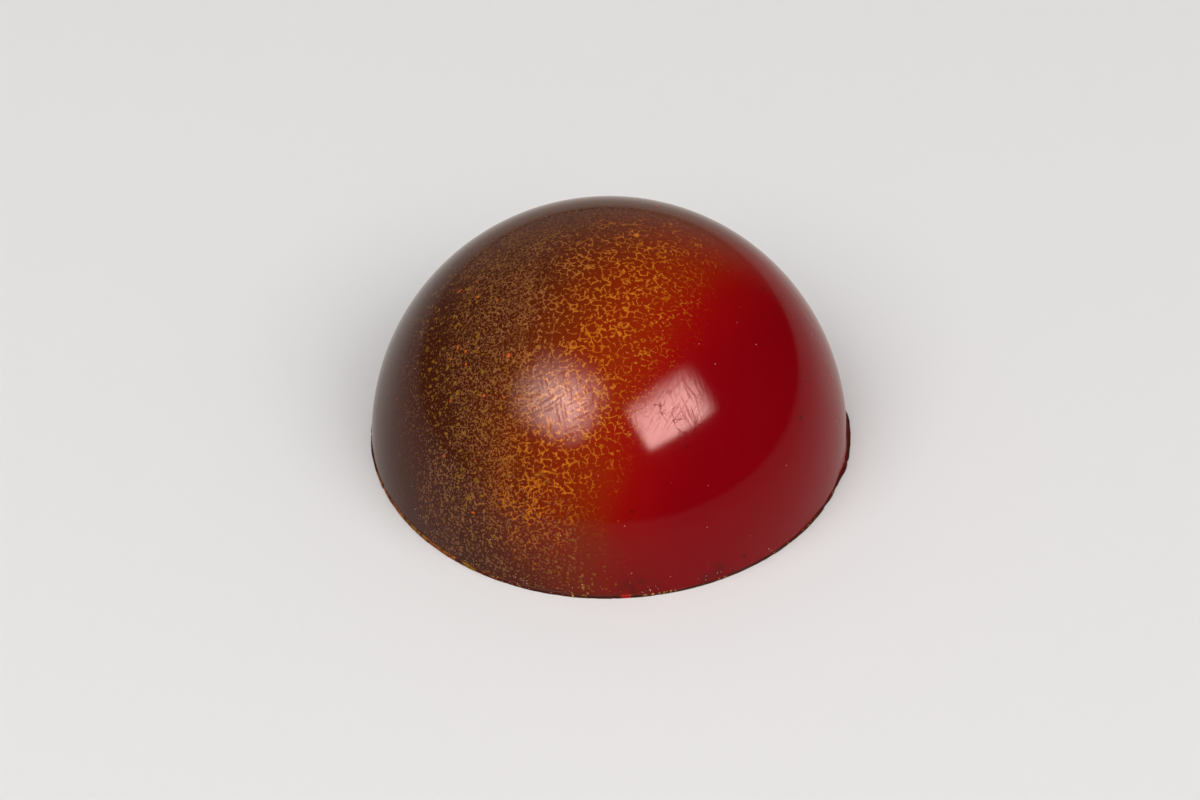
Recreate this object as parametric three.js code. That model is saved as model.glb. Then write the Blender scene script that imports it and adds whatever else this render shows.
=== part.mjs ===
// Half-sphere chocolate praline: one solid casting, domed by a polished mould and closed by a
// flat base whose edge is left as a thin foot. Millimetres, +Z up, origin at the base's middle.
import * as THREE from 'three';

// Driving dimensions.
const DOME_RADIUS = 15; // the half-sphere of the mould, so the dome is also this high
const FOOT_HEIGHT = 0.28; // film of chocolate left between the mould's face and the scraper
const FOOT_OVERHANG = 0.075; // how far the foot stands out past the dome, on average
const FOOT_WAVER = 0.75; // share of the overhang that comes and goes round the edge
const FLASH_OVERHANG = 0.16; // the extra that the scraper dragged out on one side
const FLASH_DIRECTION = THREE.MathUtils.degToRad(-3.5); // where the flash is, turned from +X
const FLASH_SPREAD = THREE.MathUtils.degToRad(14); // half the angle that the flash covers
const BASE_ROUNDING = 0.08; // soft lower edge of the foot
const RING_SEGMENTS = 96; // facets round the dome
const ARC_STEPS = 26; // facets from the foot to the top
const CHOCOLATE = { color: 0x7a2a16, roughness: 0.18, metalness: 0 };

// How far the foot stands out past the dome at an angle round the vertical axis.
function footOverhang(angle) {
  const waver = Math.sin(3 * angle + 1.65) * 0.65 + Math.sin(5 * angle - 1.86) * 0.35;
  const away = THREE.MathUtils.euclideanModulo(angle - FLASH_DIRECTION + Math.PI, 2 * Math.PI) - Math.PI;
  const flash = 1 - THREE.MathUtils.smoothstep(Math.abs(away), 0.6 * FLASH_SPREAD, FLASH_SPREAD);
  return FOOT_OVERHANG * (1 + FOOT_WAVER * waver) + FLASH_OVERHANG * flash;
}

// Half outline of the praline, from the middle of the base round to the top.
function pralineOutline() {
  const startAngle = Math.asin(FOOT_HEIGHT / DOME_RADIUS);
  const footRadius = DOME_RADIUS * Math.cos(startAngle);
  const outline = [
    new THREE.Vector2(0, 0),
    new THREE.Vector2(footRadius / 2, 0),
    new THREE.Vector2(footRadius - BASE_ROUNDING, 0),
    new THREE.Vector2(footRadius, BASE_ROUNDING),
    new THREE.Vector2(footRadius, FOOT_HEIGHT - BASE_ROUNDING),
  ];
  for (let step = 0; step < ARC_STEPS; step += 1) {
    const angle = THREE.MathUtils.lerp(startAngle, Math.PI / 2, step / ARC_STEPS);
    outline.push(new THREE.Vector2(DOME_RADIUS * Math.cos(angle), DOME_RADIUS * Math.sin(angle)));
  }
  outline.push(new THREE.Vector2(0, DOME_RADIUS));
  return outline;
}

// Moves the foot's edge out, by an amount that changes round the praline.
function pushOutFoot(geometry) {
  const position = geometry.getAttribute('position');
  for (let index = 0; index < position.count; index += 1) {
    const x = position.getX(index);
    const y = position.getY(index);
    const radius = Math.hypot(x, y);
    if (position.getZ(index) < FOOT_HEIGHT && radius > DOME_RADIUS / 1.5) {
      const scale = 1 + footOverhang(Math.atan2(y, x)) / radius;
      position.setXY(index, x * scale, y * scale);
    }
  }
  geometry.computeVertexNormals();
}

function makePraline() {
  const geometry = new THREE.LatheGeometry(pralineOutline(), RING_SEGMENTS);
  geometry.rotateX(Math.PI / 2);
  pushOutFoot(geometry);
  const praline = new THREE.Mesh(geometry, new THREE.MeshStandardMaterial(CHOCOLATE));
  praline.name = 'praline';
  return praline;
}

const part = new THREE.Group();
part.add(makePraline());

export default part;
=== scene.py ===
"""Half-sphere chocolate praline with a sprayed cocoa-butter shell, on a plain pale table."""

import math
import random
from typing import NamedTuple

import bmesh
import bpy
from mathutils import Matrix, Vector, noise


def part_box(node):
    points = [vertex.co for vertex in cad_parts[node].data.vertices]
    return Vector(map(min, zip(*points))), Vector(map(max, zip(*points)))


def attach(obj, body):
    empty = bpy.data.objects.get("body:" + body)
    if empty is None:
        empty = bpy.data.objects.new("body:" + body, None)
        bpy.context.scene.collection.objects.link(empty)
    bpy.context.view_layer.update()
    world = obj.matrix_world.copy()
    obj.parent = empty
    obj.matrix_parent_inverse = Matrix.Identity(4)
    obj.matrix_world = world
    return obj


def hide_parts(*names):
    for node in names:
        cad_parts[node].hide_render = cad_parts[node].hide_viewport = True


bl_info = {
    "name": "Sprayed praline",
    "version": (1, 0, 0),
    "blender": (4, 5, 0),
    "location": "3D View > Sidebar > Praline",
    "description": "Builds a moulded praline with a sprayed shell, its loose chips and a small studio",
    "category": "Add Mesh",
}

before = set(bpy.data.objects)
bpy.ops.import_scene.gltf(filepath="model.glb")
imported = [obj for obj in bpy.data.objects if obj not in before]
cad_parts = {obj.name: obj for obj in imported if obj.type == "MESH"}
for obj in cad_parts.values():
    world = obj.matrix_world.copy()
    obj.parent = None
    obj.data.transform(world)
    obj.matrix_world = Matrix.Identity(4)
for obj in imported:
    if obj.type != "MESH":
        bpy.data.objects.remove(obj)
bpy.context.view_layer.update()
_, NODE_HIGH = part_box("praline")

MM = 0.001
DOME_RADIUS = NODE_HIGH.z / MM
FULL_TURN = 2 * math.pi


# ---- Settings


def colour_setting(name, description, red, green, blue):
    """A colour property whose default is given as it looks on a screen, from 0 to 255."""
    return bpy.props.FloatVectorProperty(
        name=name,
        description=description,
        subtype="COLOR",
        size=3,
        min=0.0,
        max=1.0,
        default=[linear(level) for level in (red, green, blue)],
    )


def linear(level):
    """A screen colour level from 0 to 255 as linear light."""
    level /= 255
    return level / 12.92 if level <= 0.04045 else ((level + 0.055) / 1.055) ** 2.4


def size_setting(name, description, millimetres):
    """A length property, given in millimetres and kept in metres."""
    return bpy.props.FloatProperty(
        name=name,
        description=description,
        default=millimetres * MM,
        min=0.0,
        precision=5,
        subtype="DISTANCE",
        unit="LENGTH",
    )


def angle_setting(name, description, degrees):
    """An angle property, given in degrees."""
    return bpy.props.FloatProperty(
        name=name,
        description=description,
        default=math.radians(degrees),
        subtype="ANGLE",
        unit="ROTATION",
    )


class PralineShape(bpy.types.PropertyGroup):
    """Sizes of the casting"""

    foot_height: size_setting("Foot height", "Height of the thin foot round the base", 0.28)
    foot_overhang: size_setting("Foot overhang", "Average overhang of the foot", 0.075)
    flash_overhang: size_setting("Flash overhang", "Extra overhang of the flash", 0.16)
    flash_direction: angle_setting("Flash direction", "Where the flash is, turned from +X", -3.5)
    flash_spread: angle_setting("Flash spread", "Half the angle that the flash covers", 14)
    raggedness: size_setting("Raggedness", "Depth of the nicks along the foot", 0.02)
    ripple: size_setting("Ripple", "Height of the mould's faint waves in the dome", 0.0025)
    scrape_depth: size_setting("Scrape depth", "Depth of the scraper's marks underneath", 0.05)


class SprayColours(bpy.types.PropertyGroup):
    """Colours of the chocolate and of the cocoa butter sprayed on it"""

    chocolate: colour_setting("Chocolate", "Dark chocolate behind the glaze", 63, 26, 12)
    bare: colour_setting("Bare chocolate", "Dark chocolate of the foot and the base", 66, 24, 14)
    amber: colour_setting("Amber", "Thinnest red coat, over the brown side", 134, 44, 5)
    rust: colour_setting("Rust", "Orange-red coat in the middle", 142, 36, 5)
    scarlet: colour_setting("Scarlet", "Red coat beside the orange", 143, 8, 6)
    crimson: colour_setting("Crimson", "Thickest red coat", 126, 1, 11)
    mist: colour_setting("Mist", "Thin yellow mist on the brown side", 120, 78, 48)
    olive: colour_setting("Olive", "Larger yellow drops on the brown side", 148, 102, 26)
    splash: colour_setting("Splash", "Coarse drops low on the brown side", 146, 90, 60)
    ochre: colour_setting("Ochre", "Yellow threads over the brown side", 146, 94, 53)
    gold: colour_setting("Gold", "Yellow threads over the orange side", 194, 112, 26)
    ochre_film: colour_setting("Ochre film", "Thin yellow between the threads, brown side", 106, 58, 28)
    gold_film: colour_setting("Gold film", "Thin yellow between the threads, orange side", 150, 64, 10)
    # The stain colour also gives the painted shade low on the front-left above the foot.
    stain_and_shade: colour_setting("Stain", "Dark chocolate smeared over the red above the foot", 62, 12, 8)
    fleck: colour_setting("Fleck", "Orange flecks in the brown side", 202, 88, 18)
    foot_amber: colour_setting("Foot amber", "Yellow cocoa butter scraped along the foot", 148, 78, 34)
    foot_red: colour_setting("Foot red", "Fresh red break in the front of the foot", 168, 26, 16)
    chip: colour_setting("Chip", "Golden chips stuck along the foot", 206, 142, 70)
    dust: colour_setting("Dust", "Pale specks of sugar and fat", 250, 218, 190)


class StudioSettings(bpy.types.PropertyGroup):
    """Table, lights and camera"""

    table_radius: size_setting("Table radius", "Radius of the round pale table", 450)
    camera_distance: size_setting("Camera distance", "From the base's middle", 22 * DOME_RADIUS)
    camera_height: angle_setting("Camera angle", "Angle of view above the table", 42.16)
    table_colour: colour_setting("Table colour", "Colour of the plain table", 231, 229, 228)


# ---- Shader arithmetic


class Signal:
    """A shader socket that Python's arithmetic turns into Math nodes."""

    def __init__(self, tree, socket=None):
        self.tree = tree
        self.socket = socket

    def node(self, kind, settings=None, inputs=None, output=0):
        """Adds a node, sets it up, feeds its sockets and returns one of its outputs."""
        node = self.tree.nodes.new(kind)
        for name, value in (settings or {}).items():
            setattr(node, name, value)
        for name, value in (inputs or {}).items():
            if isinstance(value, Signal):
                self.tree.links.new(value.socket, node.inputs[name])
            else:
                node.inputs[name].default_value = value
        return Signal(self.tree, node.outputs[output] if node.outputs else None)

    def math(self, operation, first, second):
        """A Math node over two values or signals."""
        return self.node("ShaderNodeMath", {"operation": operation}, {0: first, 1: second})

    def __add__(self, other):
        return self.math("ADD", self, other)

    __radd__ = __add__

    def __sub__(self, other):
        return self.math("SUBTRACT", self, other)

    def __rsub__(self, other):
        return self.math("SUBTRACT", other, self)

    def __mul__(self, other):
        return self.math("MULTIPLY", self, other)

    __rmul__ = __mul__

    def larger(self, other):
        """The larger of this signal and another value."""
        return self.math("MAXIMUM", self, other)

    def step(self, low, high):
        """0 below low, 1 above high and smooth between; low may be the larger one."""
        settings = {"interpolation_type": "SMOOTHSTEP"}
        inputs = {"Value": self, "From Min": low, "From Max": high}
        return self.node("ShaderNodeMapRange", settings, inputs)

    def blend(self, first, second):
        """A colour, first where this signal is 0 and second where it is 1."""
        inputs = {0: self, 6: as_colour(first), 7: as_colour(second)}
        return self.node("ShaderNodeMix", {"data_type": "RGBA"}, inputs, output=2)

    def vector(self, operation, other, output=0):
        """A Vector Math node over this signal and another vector or number."""
        second = "Scale" if operation == "SCALE" else 1
        inputs = {0: self, second: other}
        return self.node("ShaderNodeVectorMath", {"operation": operation}, inputs, output)

    def dot(self, other):
        """The dot product of this signal and a vector."""
        return self.vector("DOT_PRODUCT", other, "Value")


def as_colour(value):
    """What a colour socket takes: a signal, or red, green, blue and full alpha."""
    return value if isinstance(value, Signal) else (*value, 1.0)


def place_mm(paint):
    """Where a point is on the praline, in millimetres from the base's middle."""
    place = paint.node("ShaderNodeTexCoord", output="Object")
    return place.vector("SCALE", 1 / MM)


def toward(place, direction):
    """How far round the dome a point is towards a direction, from -1 to 1."""
    unit = Vector(direction).normalized() / DOME_RADIUS
    return place.dot(unit)


def grain(place, per_mm, detail=0.0, roughness=0.5, output=0):
    """Soft noise with a number of lumps per millimetre."""
    inputs = {"Vector": place, "Scale": per_mm, "Detail": detail, "Roughness": roughness}
    return place.node("ShaderNodeTexNoise", None, inputs, output)


def cells(place, per_mm, feature, output=0):
    """A Voronoi pattern with a number of cells per millimetre."""
    inputs = {"Vector": place, "Scale": per_mm}
    return place.node("ShaderNodeTexVoronoi", {"feature": feature}, inputs, output)


def wander(place, per_mm, millimetres):
    """The same place pushed about by noise, so that straight edges turn ragged."""
    push = grain(place, per_mm, 1.0, output="Color")
    push = push.vector("SUBTRACT", (0.5, 0.5, 0.5)).vector("SCALE", 2 * millimetres)
    return place.vector("ADD", push)


def fresh_paint(thing):
    """Empties the nodes of a material, world or lamp, and returns the paint to fill them."""
    thing.use_nodes = True
    thing.node_tree.nodes.clear()
    return Signal(thing.node_tree)


def new_material(name, roughness, surface):
    """A material with one Principled shader, and the paint that draws on it."""
    material = bpy.data.materials.new(name)
    paint = fresh_paint(material)
    shader = paint.node("ShaderNodeBsdfPrincipled", None, {"Roughness": roughness, **surface})
    paint.node("ShaderNodeOutputMaterial", None, {"Surface": shader})
    return material, paint, shader.socket.node


def feed(shader, **signals):
    """Links signals to a shader's sockets, named with underscores for spaces."""
    for name, signal in signals.items():
        socket = shader.inputs[name.replace("_", " ")]
        signal.tree.links.new(signal.socket, socket)


# ---- Finishes


class Patch(NamedTuple):
    """A round patch on the praline: where its middle is and how far it reaches, in degrees."""

    azimuth: float
    height: float
    reach: float
    soft: float = 0.5  # share of the reach that fades


class Droplets(NamedTuple):
    """A kind of droplet in the spray, which lies where soft noise is above a level."""

    per_mm: float
    detail: float
    bends_per_mm: float  # bends that make the edges ragged
    bend: float  # how far they reach, in millimetres
    level: float
    rim: tuple  # where the rim fades, from the level


class Scratches(NamedTuple):
    """A group of hairline scratches that take the gloss off a rubbed patch."""

    patch: Patch
    faces: tuple  # azimuth and height of the side they lie on
    along: tuple  # the way that they run
    per_mm: float
    stretch: float  # length over width
    edge: tuple  # noise levels between which their edges fade
    strength: float


class Spread(NamedTuple):
    """How the yellow spray lies at a point, as signals over the dome."""

    cover: object  # towards the side where the yellow is thickest
    side: object  # towards the side where there is none
    reach: object  # 1 at the front and 0 at the back


# Directions from the base's middle in which each layer of the spray gets thicker or ends.
RED_COAT_SIDE = (0.793, -0.637, 0.488)
PURE_RED_SIDE = (0.873, -0.48, 0.087)
NO_YELLOW_SIDE = (0.93, -0.32, -0.185)
YELLOW_SIDE = (0.72, -0.23, 0.66)
FRONT_SIDE = (0, -1, 0)
TOP_SIDE = (0, 0, 1)

# How far round towards a side a layer is nothing and is full. The side itself is 1, and the
# first is the larger one if the layer thins out that way.
RED_COAT_RANGE = (0.06, 0.86)
RUST_RANGE = (0.0, 0.3)
SCARLET_RANGE = (0.33, 0.56)
CRIMSON_RANGE = (0.45, 0.75)
FRONT_RANGE = (-0.55, 0.15)
MIST_COVER = (-0.44, -0.08)
MIST_SIDE = (-0.2, -0.5)
THIN_MIST_SIDE = (-0.85, -0.45)
HAZE_COVER = (-0.4, 0.3)
HAZE_SIDE = (0.3, -0.1)
DROP_COVER = (-0.3, 0.05)
DROP_END = (0.45, 0.2)
THREAD_COVER = (-0.06, 0.17)
THREAD_SIDE = (0.38, -0.02)
THREAD_RISE = (-0.05, 0.4)
THREAD_SAG = (0.8, 0.1)
GOLD_SIDE = (-0.48, -0.06)
COARSE_SIDE = (-0.34, -0.12)
COARSE_COVER = (0.30, 0.48)
SPOT_SIDE = (-0.05, 0.25)

# How far soft noise moves the edge of a layer, on the same scale.
THICKNESS_DRIFT = 0.12
PURITY_DRIFT = 0.10
SPRAY_DRIFT = 0.16
FRONT_DRIFT = 0.2

# How much of its colour each layer gives, from 0 to 1.
MIST_STRENGTH = 0.85
DROP_STRENGTH = 0.75
SPLASH_STRENGTH = 0.6
SPOT_STRENGTH = 0.6
# Strength of the painted shade low on the front-left above the foot.
PAINTED_SHADE_STRENGTH = 0.2
SMEAR_STRENGTH = 0.5
CRACK_STRENGTH = 0.3
FOOT_STREAK_STRENGTH = 0.8

# Weight of the clear glossy skin, and the share of it that wear takes off.
GLOSS = 0.88
LOST_IN_CRACKS = 0.7
LOST_IN_SCRATCHES = 0.55
LOST_IN_DULL_SPOT = 0.35

GLAZED_SURFACE = {"Specular IOR Level": 0.0, "Coat Roughness": 0.09, "Coat IOR": 1.25}
DULL_SURFACE = {"Specular IOR Level": 0.05}
MATT_SURFACE = {"Specular IOR Level": 0.0}
TABLE_GLOSS_TINT = (1.0, 0.95, 0.90)

MIST = Droplets(7.0, 0.6, 9.0, 0.02, 0.61, (-0.03, 0.05))
DROPS = Droplets(3.4, 1.0, 6.0, 0.03, 0.65, (-0.01, 0.03))
SPLASHES = Droplets(6.6, 0.6, 9.0, 0.03, 0.65, (-0.02, 0.04))
MIST_CLOUDING = 0.12  # how far the clouds move the level
SPLASH_CROWDING = 0.06  # how far the middle of the splashed patch does
HAZE_VEIL = 0.25  # share of the haze that lies evenly

THREAD_WIDTH = 0.075  # half of a full thread, as a share of a cell
FINE_THREADS_PER_MM = 3.9
COARSE_THREADS_PER_MM = 2.4
SPOTS_PER_MM = 0.85  # cells that the dark spots lie in
SPOT_RADIUS = 0.17  # of the largest spot, in millimetres
SPOT_SHARE = 0.45  # of the cells that hold a spot
SPOT_RIM = 0.3  # half of the soft rim, as a share of the largest radius
CRACK_SHIFT = (19.92, 6.34, 4.20)  # picks the cracks out of an endless pattern
CRACK_WIDTH = 0.026  # of a full crack, as a share of a cell

SPLASHED = Patch(240, 13, 27, 0.8)
CRACKED = Patch(291, 43, 8.5, 0.35)
DULL_SPOT = Patch(292, 50, 0.9, 0.8)
GOLD_SPOT = Patch(48, 80.5, 0.8)
# Painted shade: where the red just above the front-left foot is darkened.
PAINTED_SHADE = Patch(262, 2, 26, 0.9)
SMEARED = (Patch(296, 1, 6, 0.8), Patch(277, 1, 7, 0.8), Patch(203, 10, 2.2))
AMBER_FOOT = Patch(218, 1, 27, 0.3)
RED_FOOT = Patch(274, 1, 1.5)

LEFT_RUB = Patch(254, 49, 24)
LEFT_FACE = (254, 49)
RIGHT_FACE = (298, 46)
SCRATCHES = (
    Scratches(LEFT_RUB, LEFT_FACE, (0.9, 0.2, 0.5), 5.5, 12, (0.55, 0.61), 1.0),
    Scratches(LEFT_RUB, LEFT_FACE, (-0.2, 0.7, 0.7), 5.5, 10, (0.57, 0.62), 1.0),
    Scratches(Patch(298, 48, 15, 0.6), RIGHT_FACE, (0.6, 0.5, 0.6), 6.5, 14, (0.55, 0.61), 0.6),
    Scratches(Patch(303, 46, 10, 0.6), RIGHT_FACE, (-0.3, 0.6, 0.7), 6.0, 12, (0.53, 0.60), 1.0),
)


def heading(azimuth, height):
    """The direction at an azimuth from +X and a height above the base, both in degrees."""
    turn, rise = math.radians(azimuth), math.radians(height)
    return Vector((math.cos(rise) * math.cos(turn), math.cos(rise) * math.sin(turn), math.sin(rise)))


def within(place, patch):
    """1 inside a patch and 0 outside, with a soft rim."""
    inner = math.cos(math.radians(patch.reach * (1 - patch.soft)))
    outer = math.cos(math.radians(patch.reach))
    way = place.vector("NORMALIZE", (0, 0, 0))
    return way.dot(heading(patch.azimuth, patch.height)).step(outer, inner)


def dark_spots(place):
    """Scattered round spots with soft rims, in a share of the cells of a pattern."""
    bent = wander(place, 4.0, 0.05)
    near = cells(bent, SPOTS_PER_MM, "F1")
    chance = cells(bent, SPOTS_PER_MM, "F1", output="Color").dot((1, 0, 0))
    largest = SPOT_RADIUS * SPOTS_PER_MM
    size = (SPOT_SHARE - chance) * (largest / SPOT_SHARE)
    return (size - near).step(-SPOT_RIM * largest, SPOT_RIM * largest)


def red_coat(place, colours):
    """The red cocoa butter over dark chocolate, from brown through orange to crimson."""
    drift = grain(place, 0.35, 2.0) - 0.5
    thickness = toward(place, RED_COAT_SIDE) + drift * THICKNESS_DRIFT
    purity = toward(place, PURE_RED_SIDE) + drift * PURITY_DRIFT
    hot = purity.step(*RUST_RANGE).blend(colours.amber, colours.rust)
    hot = purity.step(*SCARLET_RANGE).blend(hot, colours.scarlet)
    hot = purity.step(*CRIMSON_RANGE).blend(hot, colours.crimson)
    return thickness.step(*RED_COAT_RANGE).blend(colours.chocolate, hot)


def spray_spread(place):
    """Where the yellow spray lies, with its edges drifting to and fro."""
    drift = grain(place, 0.5, 2.0) - 0.5
    cover = toward(place, YELLOW_SIDE) + drift * SPRAY_DRIFT
    side = toward(place, NO_YELLOW_SIDE) + drift * SPRAY_DRIFT
    front = toward(place, FRONT_SIDE) + drift * FRONT_DRIFT
    return Spread(cover, side, front.step(*FRONT_RANGE))


def droplets(place, kind, crowding=0.0):
    """Droplets of one kind, from 0 to 1, and more of them where crowding is higher."""
    bent = wander(place, kind.bends_per_mm, kind.bend)
    level = grain(bent, kind.per_mm, kind.detail)
    return (level + crowding - kind.level).step(*kind.rim)


def yellow_mist(place, amount):
    """Fine droplets of yellow, thicker in some clouds than in others."""
    clouds = grain(place, 1.3, 1.0) - 0.5
    return droplets(place, MIST, clouds * MIST_CLOUDING) * amount


def yellow_haze(place, amount):
    """A thin, grainy veil of yellow, what is left of the mist at the back."""
    grains = grain(wander(place, 6.0, 0.04), 4.2, 1.0).step(0.42, 0.60)
    return amount * (grains * (1 - HAZE_VEIL) + HAZE_VEIL)


def splashes(place, amount):
    """Short coarse drops of yellow low on the brown side."""
    return droplets(place, SPLASHES, amount * SPLASH_CROWDING) * amount.step(0.0, 0.4)


def lay_droplets(colour, place, spread, colours):
    """Lays mist, the haze behind, larger drops and low splashes over the coat."""
    cover, side, reach = spread
    thinner = side.step(*THIN_MIST_SIDE) * 0.4 + 0.6
    mist = yellow_mist(place, cover.step(*MIST_COVER) * side.step(*MIST_SIDE) * reach * thinner)
    colour = (mist * MIST_STRENGTH).blend(colour, colours.mist)
    haze = yellow_haze(place, cover.step(*HAZE_COVER) * side.step(*HAZE_SIDE) * (1 - reach))
    colour = haze.blend(colour, colours.ochre_film)
    drops = droplets(place, DROPS) * (cover.step(*DROP_COVER) * cover.step(*DROP_END) * reach)
    colour = (drops * DROP_STRENGTH).blend(colour, colours.olive)
    splashed = splashes(place, within(place, SPLASHED))
    tone = grain(place, 1.8, 1.0).step(0.56, 0.68).blend(colours.splash, colours.olive)
    return (splashed * SPLASH_STRENGTH).blend(colour, tone)


def spray_net(colour, place, per_mm, amount, film, thread):
    """Lays a branching net over a colour, its thin film first and then its bright threads."""
    bent = wander(wander(place, 0.95 * per_mm, 0.42 / per_mm), 3 * per_mm, 0.15 / per_mm)
    edge = cells(bent, per_mm, "DISTANCE_TO_EDGE")
    clumps = grain(place, 0.8, 2.0).step(0.30, 0.66) * 0.7 + 0.45
    unbroken = grain(place, 1.4 * per_mm, 1.0).step(0.38, 0.56)
    width = amount * clumps * unbroken * THREAD_WIDTH
    laid = width.step(0.0, 0.5 * THREAD_WIDTH)
    colour = ((width * 2.0 - edge).step(-0.04, 0.04) * laid * 0.5).blend(colour, film)
    beads = grain(place, 5.0, 1.0).step(0.34, 0.60) * 0.45 + 0.55
    return ((width - edge).step(-0.025, 0.035) * laid * beads).blend(colour, thread)


def lay_threads(colour, place, spread, colours):
    """Lays the yellow nets, ochre and fine over the brown, gold and coarse over the orange."""
    cover, side, reach = spread
    gold = side.step(*GOLD_SIDE)
    film = gold.blend(colours.ochre_film, colours.gold_film)
    thread = gold.blend(colours.ochre, colours.gold)
    rise = toward(place, TOP_SIDE)
    fuller = rise.step(*THREAD_RISE) * 0.55 + 0.45
    end = (side + rise.step(*THREAD_SAG) * 0.12).step(*THREAD_SIDE)
    yellow = cover.step(*THREAD_COVER) * end * reach * fuller
    coarse = side.step(*COARSE_SIDE).larger(cover.step(*COARSE_COVER))
    amount = yellow * coarse.step(1.0, 0.4)
    colour = spray_net(colour, place, FINE_THREADS_PER_MM, amount, film, thread)
    amount = yellow * coarse.step(0.0, 0.6)
    return spray_net(colour, place, COARSE_THREADS_PER_MM, amount, film, thread)


def lay_stains(colour, place, spread, colours):
    """Darkens the red with spots and smears, and with painted shade low on the front-left just above
    the foot.
    """
    dark = dark_spots(place) * spread.side.step(*SPOT_SIDE)
    colour = (dark * SPOT_STRENGTH).blend(colour, colours.stain_and_shade)
    # Painted shade: darkens the red and its threads just above the front-left foot.
    colour = (within(place, PAINTED_SHADE) * PAINTED_SHADE_STRENGTH).blend(colour, colours.stain_and_shade)
    smears = within(place, SMEARED[0])
    for patch in SMEARED[1:]:
        smears = smears + within(place, patch)
    patchy = grain(place, 1.6, 2.0).step(0.35, 0.6)
    return (smears * patchy * SMEAR_STRENGTH).blend(colour, colours.stain_and_shade)


def hairlines(place, group):
    """Noise drawn out along a direction on the side that faces out, for fine scratches."""
    out = heading(*group.faces)
    across = out.cross(Vector(group.along)).normalized()
    along = across.cross(out).normalized()
    place = wander(place, 0.5, 0.25)
    inputs = {
        0: place.dot(across * group.per_mm),
        1: place.dot(along * group.per_mm / group.stretch),
    }
    return grain(place.node("ShaderNodeCombineXYZ", None, inputs), 1.0, 1.0)


def cracks(place):
    """Fine branching cracks in the skin on the shoulder of the red side, from 0 to 1."""
    moved = place.vector("ADD", CRACK_SHIFT)
    edge = cells(wander(moved, 1.9, 0.30), 0.95, "DISTANCE_TO_EDGE")
    broken = grain(moved, 0.9, 1.0).step(0.47, 0.60)
    return (broken * CRACK_WIDTH - edge).step(-0.011, 0.011) * within(place, CRACKED)


def rubbing(place):
    """Crossed hairline scratches that dull the gloss where it was rubbed, from 0 to 1."""
    groups = [
        hairlines(place, group).step(*group.edge) * within(place, group.patch) * group.strength
        for group in SCRATCHES
    ]
    worn = groups[0]
    for group in groups[1:]:
        worn = worn.larger(group)
    return worn


def spray_material(colours):
    """Mirror-gloss shell: the sprayed layers seen through one clear glossy skin."""
    material, paint, shader = new_material("sprayed cocoa butter", 0.5, GLAZED_SURFACE)
    place = place_mm(paint)
    spread = spray_spread(place)
    colour = red_coat(place, colours)
    colour = lay_droplets(colour, place, spread, colours)
    colour = lay_threads(colour, place, spread, colours)
    colour = lay_stains(colour, place, spread, colours)
    colour = within(place, GOLD_SPOT).blend(colour, colours.gold)
    split = cracks(place)
    colour = (split * CRACK_STRENGTH).blend(colour, colours.stain_and_shade)
    whole = 1 - split * LOST_IN_CRACKS
    unrubbed = 1 - rubbing(place) * LOST_IN_SCRATCHES
    bright = 1 - within(place, DULL_SPOT) * LOST_IN_DULL_SPOT
    feed(shader, Base_Color=colour, Coat_Weight=whole * unrubbed * bright * GLOSS)
    return material


def rough_surface(paint, strength, depth, height):
    """Normals roughened by a height signal, to a depth in millimetres."""
    inputs = {"Strength": strength, "Distance": depth * MM, "Height": height}
    return paint.node("ShaderNodeBump", None, inputs)


def foot_material(colours):
    """Bare chocolate of the foot and base, with cocoa butter scraped along the foot's edge."""
    material, paint, shader = new_material("scraped dark chocolate", 0.42, DULL_SURFACE)
    place = place_mm(paint)
    bloom = grain(place, 1.5, 3.0, 0.6).step(0.4, 0.75)
    paler = [level * 1.5 for level in colours.bare]
    colour = bloom.blend(colours.bare, paler)
    away = place.vector("DISTANCE", (0, 0, 0), "Value")
    edge = away.step(DOME_RADIUS - 0.25, DOME_RADIUS - 0.08)
    streaks = grain(place, 2.2, 2.0).step(0.40, 0.58)
    tone = grain(place, 0.7, 1.0).step(0.42, 0.58).blend(colours.foot_amber, colours.olive)
    amber = within(place, AMBER_FOOT) * streaks * edge * FOOT_STREAK_STRENGTH
    colour = amber.blend(colour, tone)
    colour = (within(place, RED_FOOT) * edge).blend(colour, colours.foot_red)
    bump = rough_surface(paint, 0.5, 0.03, grain(place, 7.0, 3.0, 0.6))
    feed(shader, Base_Color=colour, Normal=bump)
    return material


def bits_material(name, colour, darker, roughness):
    """Small loose bits, each a little lighter or darker than the next."""
    material, paint, shader = new_material(name, roughness, DULL_SURFACE)
    place = place_mm(paint)
    deep = [level * darker for level in colour]
    shade = grain(place, 2.5, 1.0).step(0.35, 0.65).blend(deep, colour)
    bump = rough_surface(paint, 0.4, 0.01, grain(place, 25.0, 2.0))
    feed(shader, Base_Color=shade, Normal=bump)
    return material


def table_material(colour):
    """Plain pale matt table; as the gloss mirrors it, a little warmer and with painted shade that
    darkens it with distance.
    """
    material, paint, shader = new_material("pale table", 0.6, MATT_SURFACE)
    away = place_mm(paint).vector("DISTANCE", (0, 0, 0), "Value")
    # Painted shade, seen only in the gloss: the mirrored table darkens with distance, for light that
    # falls off away from the lamps.
    shade = away.step(15, 60) * 0.35 + away.step(60, 330) * 0.5
    mirrored = paint.node("ShaderNodeLightPath", output="Is Glossy Ray")
    warmer = [level * share for level, share in zip(colour, TABLE_GLOSS_TINT)]
    colour = mirrored.blend(colour, warmer)
    feed(shader, Base_Color=(shade * mirrored).blend(colour, (0.0, 0.0, 0.0)))
    return material


# ---- Meshes


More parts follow.
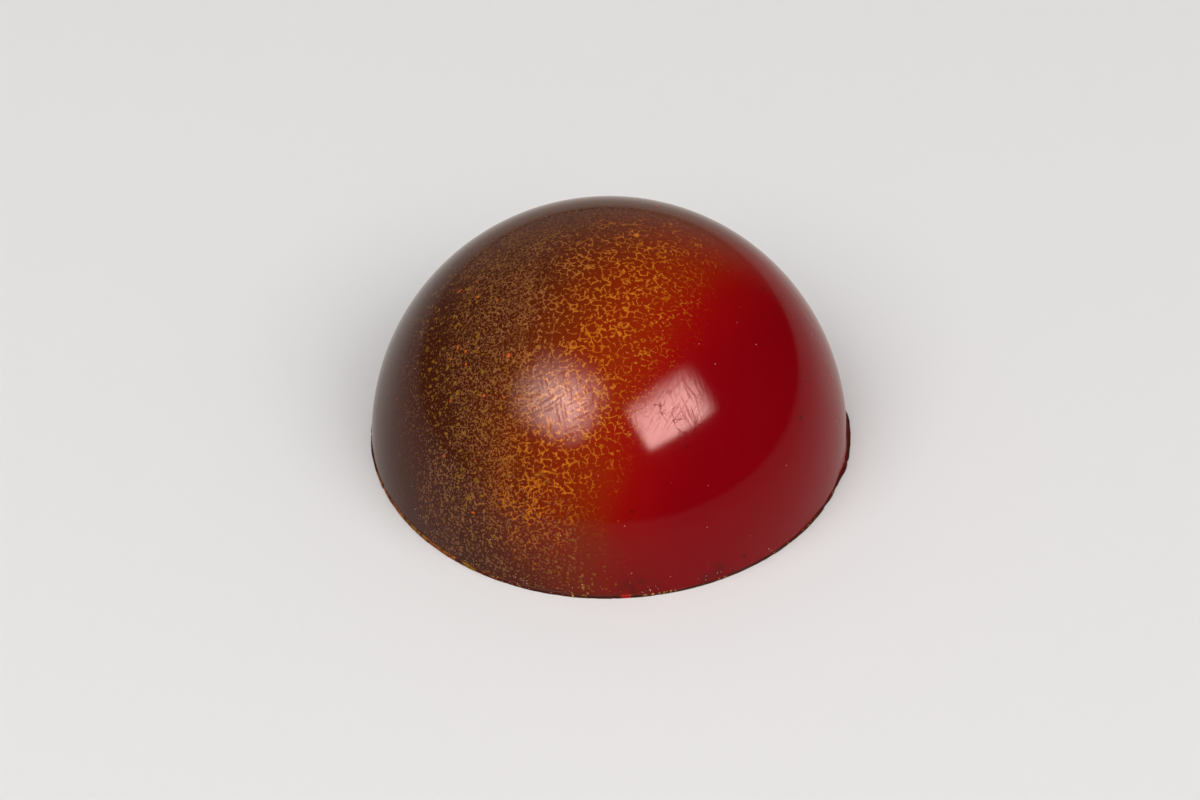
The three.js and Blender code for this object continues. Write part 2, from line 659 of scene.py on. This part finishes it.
class Rows:
    """Rows of points round the upright axis, stitched from the top of the praline to its base."""

    def __init__(self):
        self.points = []
        self.faces = []
        self.row = []

    def close(self, point):
        """Starts or ends the mesh at one point on the axis."""
        tip = len(self.points)
        self.points.append(point)
        if self.row:
            count = len(self.row)
            for index, here in enumerate(self.row):
                self.faces.append((here, tip, self.row[(index + 1) % count]))
        self.row = [tip]

    def add(self, count, place, *details):
        """Adds a row of count points below the last row, each at place(angle, *details)."""
        start = len(self.points)
        self.points += [place(FULL_TURN * index / count, *details) for index in range(count)]
        row = list(range(start, start + count))
        above = self.row
        self.row = row
        if len(above) == 1:
            self.faces += [(above[0], row[i], row[(i + 1) % count]) for i in range(count)]
        elif len(above) <= count:
            self.stitch(above, row, count // len(above))
        else:
            self.stitch_up(above, row)

    def stitch(self, above, row, each):
        """Joins a row to the one below it, which has each times as many points."""
        for index, here in enumerate(above):
            after = above[(index + 1) % len(above)]
            under = [row[(index * each + k) % len(row)] for k in range(each + 1)]
            self.faces.append((here, *under, after))

    def stitch_up(self, above, row):
        """Joins a row to twice as many points above it."""
        for index, here in enumerate(row):
            after = row[(index + 1) % len(row)]
            over = [above[(index * 2 + k) % len(above)] for k in (2, 1, 0)]
            self.faces.append((here, after, *over))


# Rows of the casting's mesh, with lengths in millimetres.
COARSEST_ROW = 24  # points of the first row below the top
FINEST_ROW = 1536  # points of a row along the foot
POINT_SPACING = 0.27  # the most between two points of an even row
DOME_STEPS = 84
EVEN_ROWS_END = 1.35  # how high the last even row is, as a share of the foot's height
EDGE_ROWS = ((FINEST_ROW // 2, 0.4), (FINEST_ROW, 0.75), (FINEST_ROW, 1.0))  # from there down
FOOT_STEPS = 10
BASE_INSET = 0.15  # from the dome's edge to the base's outermost row
BASE_RIM = 2  # width of the ring whose rows lie closer together
RIM_STEP = 0.3
BASE_STEP = 0.4
BASE_END = 0.3  # radius inside which the base closes to a point
BASE_HOLLOW = 0.02  # how high that point is

# Shape of the foot, with lengths in millimetres.
FOOT_WAVER = 0.75  # share of the overhang that comes and goes round the edge
LEAST_OVERHANG = 0.01
THICK_FOOT_DIRECTION = math.radians(218)  # where the foot is highest
FLASH_CORE = 0.6  # share of the flash's spread that has its whole overhang
FLARE_SHARE = 0.6  # of the flash's overhang, how far the film above it bulges out
FLARE_FULL = 0.15  # height up to which the film bulges fully
FLARE_TOP = 0.95  # height at which it no longer does
SWELL_ABOVE = 0.6  # how the foot's edge rounds off above its middle; smaller is squarer
SWELL_BELOW = 0.2  # the same below its middle


def row_count(radius):
    """A number of points for a row, doubling as the row gets longer."""
    count = COARSEST_ROW
    while FULL_TURN * radius / count > POINT_SPACING:
        count *= 2
    return count


def smoothstep(value, low, high):
    """0 below low, 1 above high and smooth between."""
    share = min(max((value - low) / (high - low), 0.0), 1.0)
    return share * share * (3 - 2 * share)


def wobble(x, y, z, scale):
    """Smooth noise between -1 and 1, with lumps of about scale millimetres."""
    return noise.noise(Vector((x, y, z)) / scale)


def edge_wobble(angle, layer, scale):
    """Smooth noise round the foot's edge, different for each layer."""
    return wobble(DOME_RADIUS * math.cos(angle), DOME_RADIUS * math.sin(angle), layer, scale)


def on_circle(radius, angle, height):
    """A point in metres, turned round the upright axis from +X, from millimetres."""
    return (radius * math.cos(angle) * MM, radius * math.sin(angle) * MM, height * MM)


def dome_radius_at(height):
    """The dome's radius at a height, both in millimetres."""
    return math.sqrt(DOME_RADIUS**2 - height**2)


def flash_share(angle, shape):
    """How much of the flash there is at an angle, from 0 to 1."""
    away = (angle - shape.flash_direction + math.pi) % FULL_TURN - math.pi
    return 1 - smoothstep(abs(away), FLASH_CORE * shape.flash_spread, shape.flash_spread)


def flare(angle, height, shape):
    """How far the film bulges out above the flash, in millimetres."""
    bulge = FLARE_SHARE * shape.flash_overhang / MM
    return bulge * flash_share(angle, shape) * smoothstep(-height, -FLARE_TOP, -FLARE_FULL)


def rippled(angle, radius, height, shape):
    """A point of the dome, moved by the faint waves of the mould's face and the flare."""
    x = radius * math.cos(angle)
    y = radius * math.sin(angle)
    wave = wobble(x, y, height, 3.0) + 0.25 * wobble(x, y, height, 1.0)
    fade = smoothstep(height, 0.5, 2.0)
    scale = 1 + fade * wave * shape.ripple / MM / DOME_RADIUS
    return on_circle(radius * scale + flare(angle, height, shape), angle, height * scale)


def foot_overhang(angle, shape):
    """How far the foot stands out of the dome at an angle, in millimetres."""
    waver = math.sin(3 * angle + 1.65) * 0.65 + math.sin(5 * angle - 1.86) * 0.35
    even = shape.foot_overhang / MM * (1 + FOOT_WAVER * waver)
    flash = shape.flash_overhang / MM * flash_share(angle, shape)
    ragged = edge_wobble(angle, 0, 0.9) + 0.7 * edge_wobble(angle, 5, 0.3)
    nick = smoothstep(edge_wobble(angle, 9, 0.6), 0.35, 0.6)
    return max(even + flash + shape.raggedness / MM * (ragged - 2 * nick), LEAST_OVERHANG)


def foot_top(angle, shape):
    """Height of the crease between the dome and the foot at an angle, in millimetres."""
    uneven = 0.6 * edge_wobble(angle, 2, 2.5) + 0.3 * edge_wobble(angle, 3, 0.5)
    brown_side = smoothstep(math.cos(angle - THICK_FOOT_DIRECTION), 0.3, 0.9)
    return shape.foot_height / MM * (0.72 + 0.28 * brown_side + 0.2 * uneven)


def dome_edge(angle, share, even_end, shape):
    """A point of the dome between its last even row and the crease of the foot."""
    start = DOME_RADIUS * math.sin(even_end)
    height = start + (foot_top(angle, shape) - start) * share
    return on_circle(dome_radius_at(height) + flare(angle, height, shape), angle, height)


def foot_point(angle, bow, shape):
    """A point of the foot's rounded edge, from bow +90 degrees at its top to -90 at the base."""
    top = foot_top(angle, shape)
    bulge = flare(angle, top, shape)
    fullness = max(math.cos(bow), 0.0) ** (SWELL_ABOVE if bow > 0 else SWELL_BELOW)
    out = bulge + (foot_overhang(angle, shape) - bulge) * fullness
    height = top * (0.5 + 0.5 * math.sin(bow))
    rough = 0.3 * shape.raggedness / MM * edge_wobble(angle, height, 0.2) * math.cos(bow)
    radius = dome_radius_at(min(top, height + 0.01)) + out + rough
    return on_circle(radius, angle, max(height, 0.0))


def base_point(angle, radius, shape):
    """A point of the scraped underside, with grooves along the scraper's way."""
    x = radius * math.cos(angle)
    y = radius * math.sin(angle)
    groove = wobble(x * 0.12, y, 1, 0.8) * 0.5 + wobble(x * 0.2, y, 4, 0.35) * 0.2 + 0.35
    pit = smoothstep(wobble(x, y, 7, 1.1), 0.45, 0.7)
    edge = smoothstep(DOME_RADIUS - radius, 0.1, 0.8)
    depth = shape.scrape_depth / MM * edge * (max(groove, 0.0) + 2.5 * pit)
    return on_circle(radius, angle, depth)


def praline_mesh(shape):
    """The whole casting as one closed mesh, with the index of its first bare face."""
    rows = Rows()
    rows.close((0, 0, DOME_RADIUS * MM))
    even_end = math.asin(shape.foot_height / MM / DOME_RADIUS) * EVEN_ROWS_END
    for step in range(1, DOME_STEPS):
        angle_up = math.pi / 2 + (even_end - math.pi / 2) * step / (DOME_STEPS - 1)
        radius = DOME_RADIUS * math.cos(angle_up)
        height = DOME_RADIUS * math.sin(angle_up)
        rows.add(row_count(radius), rippled, radius, height, shape)
    for count, share in EDGE_ROWS:
        rows.add(count, dome_edge, share, even_end, shape)
    first_bare_face = len(rows.faces)
    for step in range(1, FOOT_STEPS + 1):
        bow = math.pi * (0.5 - step / FOOT_STEPS)
        rows.add(FINEST_ROW, foot_point, bow, shape)
    radius = DOME_RADIUS - BASE_INSET
    count = FINEST_ROW
    while radius > BASE_END:
        count = max(count // 2, row_count(radius))
        rows.add(count, base_point, radius, shape)
        radius -= RIM_STEP if radius > DOME_RADIUS - BASE_RIM else BASE_STEP
    rows.close((0, 0, BASE_HOLLOW * MM))
    return rows, first_bare_face


def add_object(name, points, faces, materials):
    """Makes a smooth-shaded mesh object in the scene."""
    mesh = bpy.data.meshes.new(name)
    mesh.from_pydata(points, [], faces)
    mesh.validate()
    mesh.polygons.foreach_set("use_smooth", [True] * len(mesh.polygons))
    for material in materials:
        mesh.materials.append(material)
    made = bpy.data.objects.new(name, mesh)
    bpy.context.scene.collection.objects.link(made)
    return made


class Bits:
    """Many small irregular bits joined in one mesh, each of them a closed body."""

    def __init__(self, seed):
        self.chance = random.Random(seed)
        self.points = []
        self.faces = []
        ball = bmesh.new()
        bmesh.ops.create_icosphere(ball, subdivisions=2, radius=1.0)
        self.ball_points = [vertex.co.copy() for vertex in ball.verts]
        self.ball_faces = [tuple(vertex.index for vertex in face.verts) for face in ball.faces]
        ball.free()

    def add(self, centre, outward, size, ruggedness):
        """Adds a bit with size = (length, width, height) in millimetres, lying across outward."""
        outward = Vector(outward).normalized()
        along = outward.orthogonal().normalized()
        turned = self.chance.uniform(0, FULL_TURN)
        across = outward.cross(along)
        first = along * math.cos(turned) + across * math.sin(turned)
        second = outward.cross(first)
        shift = Vector([self.chance.uniform(0, 50) for _ in range(3)])
        start = len(self.points)
        for point in self.ball_points:
            swell = 1 + ruggedness * noise.noise(point * 1.3 + shift)
            flat = first * point.x * size[0] + second * point.y * size[1]
            place = Vector(centre) + (flat + outward * point.z * size[2]) * (swell * MM / 2)
            place.z = max(place.z, 0.0)
            self.points.append(tuple(place))
        self.faces += [tuple(start + index for index in face) for face in self.ball_faces]


def on_dome(azimuth, height):
    """The place on the dome at an azimuth and a height in degrees, and the way out of it."""
    out = heading(azimuth, height)
    return out * DOME_RADIUS * MM, out


def random_height(chance, shares):
    """A height in degrees between two shares of the dome's height, even over its surface."""
    return math.degrees(math.asin(chance.uniform(*shares)))


class Mark(NamedTuple):
    """A single fleck on the dome: where it is, in degrees, and its length and width in mm."""

    azimuth: float
    height: float
    length: float
    width: float


# The flecks large enough to be told apart.
FLECK_MARKS = (
    Mark(180, 52, 0.36, 0.11),
    Mark(190, 57, 0.24, 0.18),
    Mark(199, 61, 0.20, 0.11),
    Mark(205, 47, 0.26, 0.20),
    Mark(209, 48, 0.20, 0.14),
    Mark(206, 44, 0.22, 0.15),
    Mark(213, 46, 0.18, 0.14),
    Mark(216, 37, 0.22, 0.16),
    Mark(222, 25, 0.20, 0.14),
    Mark(226, 54, 0.32, 0.26),
    Mark(226, 43, 0.24, 0.18),
    Mark(233, 45, 0.20, 0.16),
    Mark(239, 47, 0.18, 0.15),
    Mark(235, 16, 0.25, 0.14),
    Mark(246, 13, 0.20, 0.13),
    Mark(66, 61, 0.30, 0.17),
)


class Cluster(NamedTuple):
    """A loose group of bits, with its azimuth and spread in degrees."""

    azimuth: float
    spread: float
    count: int

    def draw(self, chance):
        """A random azimuth in the group, in degrees."""
        return chance.gauss(self.azimuth, self.spread / 2)


# Bits, with lengths in millimetres.
BIT_WIDTHS = (0.5, 0.9)  # as shares of the length
FINE_FLECKS = Cluster(212, 68, 46)
FINE_FLECK_HEIGHTS = (0.10, 0.97)  # as shares of the dome's height
FINE_FLECK_LENGTHS = (0.05, 0.11)
FINE_FLECK_THICKNESS = 0.025
FLECK_THICKNESS = 0.03
FLECK_RUGGEDNESS = 0.9
CHIP_LENGTHS = (0.05, 0.13)
CHIP_BOWS = (-0.4, 1.3)  # where on the foot's rounded edge a chip sticks, in radians
CHIP_CLUSTERS = (
    Cluster(212, 16, 10),
    Cluster(246, 5, 12),
    Cluster(262, 9, 7),
    Cluster(283, 7, 18),
    Cluster(297, 3, 5),
    Cluster(320, 12, 7),
    Cluster(338, 3, 4),
    Cluster(80, 70, 16),
)
LOOSE_SPECKS = 80
LOOSE_SPECK_HEIGHTS = (0.03, 0.95)  # as shares of the dome's height
SPECK_CLUSTERS = (
    (Cluster(222, 36, 16), (1.5, 14)),  # with heights in degrees
    (Cluster(265, 50, 48), (1.2, 3.0)),
)
SPECK_LENGTHS = (0.025, 0.055)


# ---- Operators


class PRALINE_OT_casting(bpy.types.Operator):
    """Make the praline itself: dome, thin foot and scraped base in one casting"""

    bl_idname = "praline.casting"
    bl_label = "Praline casting"

    def execute(self, context):
        scene = context.scene
        rows, first_bare_face = praline_mesh(scene.praline_shape)
        materials = [spray_material(scene.praline_colours), foot_material(scene.praline_colours)]
        casting = add_object("praline_casting", rows.points, rows.faces, materials)
        slots = [0] * first_bare_face + [1] * (len(rows.faces) - first_bare_face)
        if len(casting.data.polygons) != len(slots):
            raise RuntimeError("the casting lost faces when its mesh was made")
        casting.data.polygons.foreach_set("material_index", slots)
        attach(casting, "root")
        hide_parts("praline")
        return {"FINISHED"}


def add_piece(name, bits, material):
    """Adds the bits as one piece that stands on the praline and has a finish slot."""
    piece = add_object(name, bits.points, bits.faces, [material])
    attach(piece, "root")


class PRALINE_OT_flecks(bpy.types.Operator):
    """Make the orange flecks of cocoa butter in the skin of the brown side"""

    bl_idname = "praline.flecks"
    bl_label = "Orange flecks"

    def execute(self, context):
        bits = Bits(seed=11)
        for mark in FLECK_MARKS:
            place, out = on_dome(mark.azimuth, mark.height)
            size = (mark.length, mark.width, FLECK_THICKNESS)
            bits.add(place, out, size, FLECK_RUGGEDNESS)
        for _ in range(FINE_FLECKS.count):
            azimuth = FINE_FLECKS.draw(bits.chance)
            place, out = on_dome(azimuth, random_height(bits.chance, FINE_FLECK_HEIGHTS))
            length = bits.chance.uniform(*FINE_FLECK_LENGTHS)
            size = (length, length * bits.chance.uniform(*BIT_WIDTHS), FINE_FLECK_THICKNESS)
            bits.add(place, out, size, FLECK_RUGGEDNESS)
        colour = context.scene.praline_colours.fleck
        material = bits_material("orange cocoa butter", colour, 0.55, 0.3)
        add_piece("orange_flecks", bits, material)
        return {"FINISHED"}


class PRALINE_OT_chips(bpy.types.Operator):
    """Make the golden chips that the scraper left along the foot"""

    bl_idname = "praline.chips"
    bl_label = "Foot chips"

    def execute(self, context):
        shape = context.scene.praline_shape
        bits = Bits(seed=23)
        for cluster in CHIP_CLUSTERS:
            for _ in range(cluster.count):
                angle = math.radians(cluster.draw(bits.chance))
                bow = bits.chance.uniform(*CHIP_BOWS)
                place = foot_point(angle, bow, shape)
                out = (math.cos(angle), math.sin(angle), math.sin(bow))
                length = bits.chance.uniform(*CHIP_LENGTHS)
                size = (length, length * bits.chance.uniform(*BIT_WIDTHS), length * 0.4)
                bits.add(place, out, size, ruggedness=1.0)
        material = bits_material("golden chips", context.scene.praline_colours.chip, 0.5, 0.45)
        add_piece("foot_chips", bits, material)
        return {"FINISHED"}


class PRALINE_OT_dust(bpy.types.Operator):
    """Make the pale specks of dust on the dome and along the foot"""

    bl_idname = "praline.dust"
    bl_label = "Dust specks"

    def execute(self, context):
        bits = Bits(seed=37)
        for _ in range(LOOSE_SPECKS):
            height = random_height(bits.chance, LOOSE_SPECK_HEIGHTS)
            self.add_speck(bits, bits.chance.uniform(0, 360), height)
        for cluster, heights in SPECK_CLUSTERS:
            for _ in range(cluster.count):
                azimuth = cluster.draw(bits.chance)
                self.add_speck(bits, azimuth, bits.chance.uniform(*heights))
        material = bits_material("pale dust", context.scene.praline_colours.dust, 0.8, 0.7)
        add_piece("dust_specks", bits, material)
        return {"FINISHED"}

    def add_speck(self, bits, azimuth, height):
        """Adds one rounded speck on the dome."""
        place, out = on_dome(azimuth, height)
        length = bits.chance.uniform(*SPECK_LENGTHS)
        bits.add(place, out, (length, length * 0.8, length * 0.6), ruggedness=0.8)


class Softbox(NamedTuple):
    """A softbox: a lamp that lights, and a picture of it that only the gloss mirrors."""

    name: str
    direction: tuple
    shape: str
    size: tuple  # length and width in metres
    lighting: float  # the lamp's power in watts
    shine: float  # how bright the picture is
    tint: tuple  # the picture's colour
    fades: tuple  # shares of it that fade at both ends of one way across, then of the other


# Metres from the base's middle. The picture hangs just behind the lamp.
SOFTBOX_DISTANCE = 0.60
SHINE_DISTANCE = 0.61
SOFTBOXES = (
    Softbox(
        name="right softbox",
        direction=(0.4915, -0.482, 0.726),
        shape="RECTANGLE",
        size=(0.485, 0.31),
        lighting=1.34,
        shine=50.0,
        tint=(1.0, 0.64, 0.59),
        fades=(0.10, 0.32, 0.14, 0.50),
    ),
    Softbox(
        name="left softbox",
        direction=(-0.405, -0.44, 0.79),
        shape="ELLIPSE",
        size=(0.60, 0.51),
        lighting=1.8,
        shine=51.0,
        tint=(1.0, 0.70, 0.62),
        fades=(0.68, 0.42, 0.50, 0.62),
    ),
)

# The dim room: the light it gives, how it looks, and how the gloss mirrors it and its glow.
ROOM_LIGHT = (0.40, 0.40, 0.40)
ROOM_SEEN = (0.75, 0.74, 0.74)
ROOM_MIRRORED = (0.005, 0.005, 0.005)
GLOW_MIRRORED = (0.30, 0.29, 0.28)
GLOW_SIDE = (-0.1, 0.9, 0.0)
GLOW_RANGE = (0.62, 1.0)

TABLE_SIDES = 128
LENS = 156.6
CAMERA_TARGET = (-0.58, 2.105)  # millimetres right of and above the base's middle


def aim(thing, position, target):
    """Puts a light or camera at a position, looking at a target."""
    position = Vector(position)
    thing.location = position
    thing.rotation_euler = (Vector(target) - position).to_track_quat("-Z", "Y").to_euler()


class PRALINE_OT_studio(bpy.types.Operator):
    """Set the table, lights and camera round the praline"""

    bl_idname = "praline.studio"
    bl_label = "Studio"

    def execute(self, context):
        scene = context.scene
        studio = scene.praline_studio
        self.add_table(studio)
        self.add_world(scene)
        for softbox in SOFTBOXES:
            self.add_softbox(softbox)
        self.add_camera(scene, studio)
        scene.view_settings.view_transform = "Standard"
        return {"FINISHED"}

    def add_table(self, studio):
        """A flat round table at the height of the base."""
        radius = studio.table_radius / MM
        turns = [FULL_TURN * side / TABLE_SIDES for side in range(TABLE_SIDES)]
        points = [on_circle(radius, turn, 0.0) for turn in turns]
        material = table_material(studio.table_colour)
        table = add_object("table", points, [tuple(range(TABLE_SIDES))], [material])

    def add_world(self, scene):
        """A dim room that the gloss mirrors darker, but for a glow low at the back."""
        world = bpy.data.worlds.new("dim room")
        scene.world = world
        paint = fresh_paint(world)
        way = paint.node("ShaderNodeTexCoord", output="Generated")
        glow = way.dot(Vector(GLOW_SIDE).normalized()).step(*GLOW_RANGE)
        gloss = glow.blend(ROOM_MIRRORED, GLOW_MIRRORED)
        seen = paint.node("ShaderNodeLightPath", output="Is Camera Ray")
        mirrored = paint.node("ShaderNodeLightPath", output="Is Glossy Ray")
        light = seen.blend(ROOM_LIGHT, ROOM_SEEN)
        light = mirrored.blend(light, gloss)
        sky = paint.node("ShaderNodeBackground", None, {"Color": light, "Strength": 1.0})
        paint.node("ShaderNodeOutputWorld", None, {"Surface": sky})

    def add_softbox(self, softbox):
        """One lamp that lights, and a fading picture of it that only the gloss mirrors."""
        lamp = self.add_lamp(softbox, SOFTBOX_DISTANCE)
        lamp.data.energy = softbox.lighting
        lamp.visible_glossy = False
        picture = self.add_lamp(softbox, SHINE_DISTANCE)
        length, width = softbox.size
        area = length * width * (math.pi / 4 if softbox.shape == "ELLIPSE" else 1)
        picture.data.energy = math.pi * area * softbox.shine
        picture.data.color = softbox.tint
        picture.visible_diffuse = False
        paint = fresh_paint(picture.data)
        across = paint.node("ShaderNodeNewGeometry", output="Parametric")
        glow = 1.0
        for axis, fades in (((1, 0, 0), softbox.fades[:2]), ((0, 1, 0), softbox.fades[2:])):
            share = across.dot(axis)
            glow = share.step(0.0, fades[0]) * share.step(1.0, 1 - fades[1]) * glow
        light = paint.node("ShaderNodeEmission", None, {"Strength": glow})
        paint.node("ShaderNodeOutputLight", None, {"Surface": light})

    def add_lamp(self, softbox, distance):
        """A lamp of the softbox's shape, aimed at the base's middle."""
        light = bpy.data.lights.new(softbox.name, "AREA")
        light.shape = softbox.shape
        light.size, light.size_y = softbox.size
        lamp = bpy.data.objects.new(softbox.name, light)
        bpy.context.scene.collection.objects.link(lamp)
        aim(lamp, Vector(softbox.direction).normalized() * distance, (0, 0, 0))
        return lamp

    def add_camera(self, scene, studio):
        """A camera in front of the praline, looking down at it."""
        data = bpy.data.cameras.new("camera")
        data.lens = LENS
        data.sensor_width = 36
        data.clip_start = 0.01
        data.clip_end = 10
        camera = bpy.data.objects.new("camera", data)
        scene.collection.objects.link(camera)
        angle = studio.camera_height
        away = Vector((0, -math.cos(angle), math.sin(angle)))
        upward = Vector((0, math.sin(angle), math.cos(angle)))
        right, up = CAMERA_TARGET
        target = Vector((right * MM, 0, 0)) + upward * up * MM
        aim(camera, away * studio.camera_distance, target)
        scene.camera = camera


class PRALINE_PT_sidebar(bpy.types.Panel):
    """Sizes, colours and the buttons that build the praline"""

    bl_idname = "PRALINE_PT_sidebar"
    bl_label = "Praline"
    bl_space_type = "VIEW_3D"
    bl_region_type = "UI"
    bl_category = "Praline"

    def draw(self, context):
        scene = context.scene
        for group in (scene.praline_shape, scene.praline_colours, scene.praline_studio):
            box = self.layout.box()
            for name in group.__annotations__:
                box.prop(group, name)
        for operator in OPERATORS:
            self.layout.operator(operator.bl_idname)


OPERATORS = (
    PRALINE_OT_casting,
    PRALINE_OT_flecks,
    PRALINE_OT_chips,
    PRALINE_OT_dust,
    PRALINE_OT_studio,
)
GROUPS = {
    "praline_shape": PralineShape,
    "praline_colours": SprayColours,
    "praline_studio": StudioSettings,
}
CLASSES = (*GROUPS.values(), *OPERATORS, PRALINE_PT_sidebar)


def register():
    for each in CLASSES:
        bpy.utils.register_class(each)
    for name, group in GROUPS.items():
        setattr(bpy.types.Scene, name, bpy.props.PointerProperty(type=group))


def unregister():
    for name in GROUPS:
        delattr(bpy.types.Scene, name)
    for each in reversed(CLASSES):
        bpy.utils.unregister_class(each)


def main():
    register()
    bpy.ops.praline.casting()
    bpy.ops.praline.flecks()
    bpy.ops.praline.chips()
    bpy.ops.praline.dust()
    bpy.ops.praline.studio()


if __name__ == "__main__":
    main()
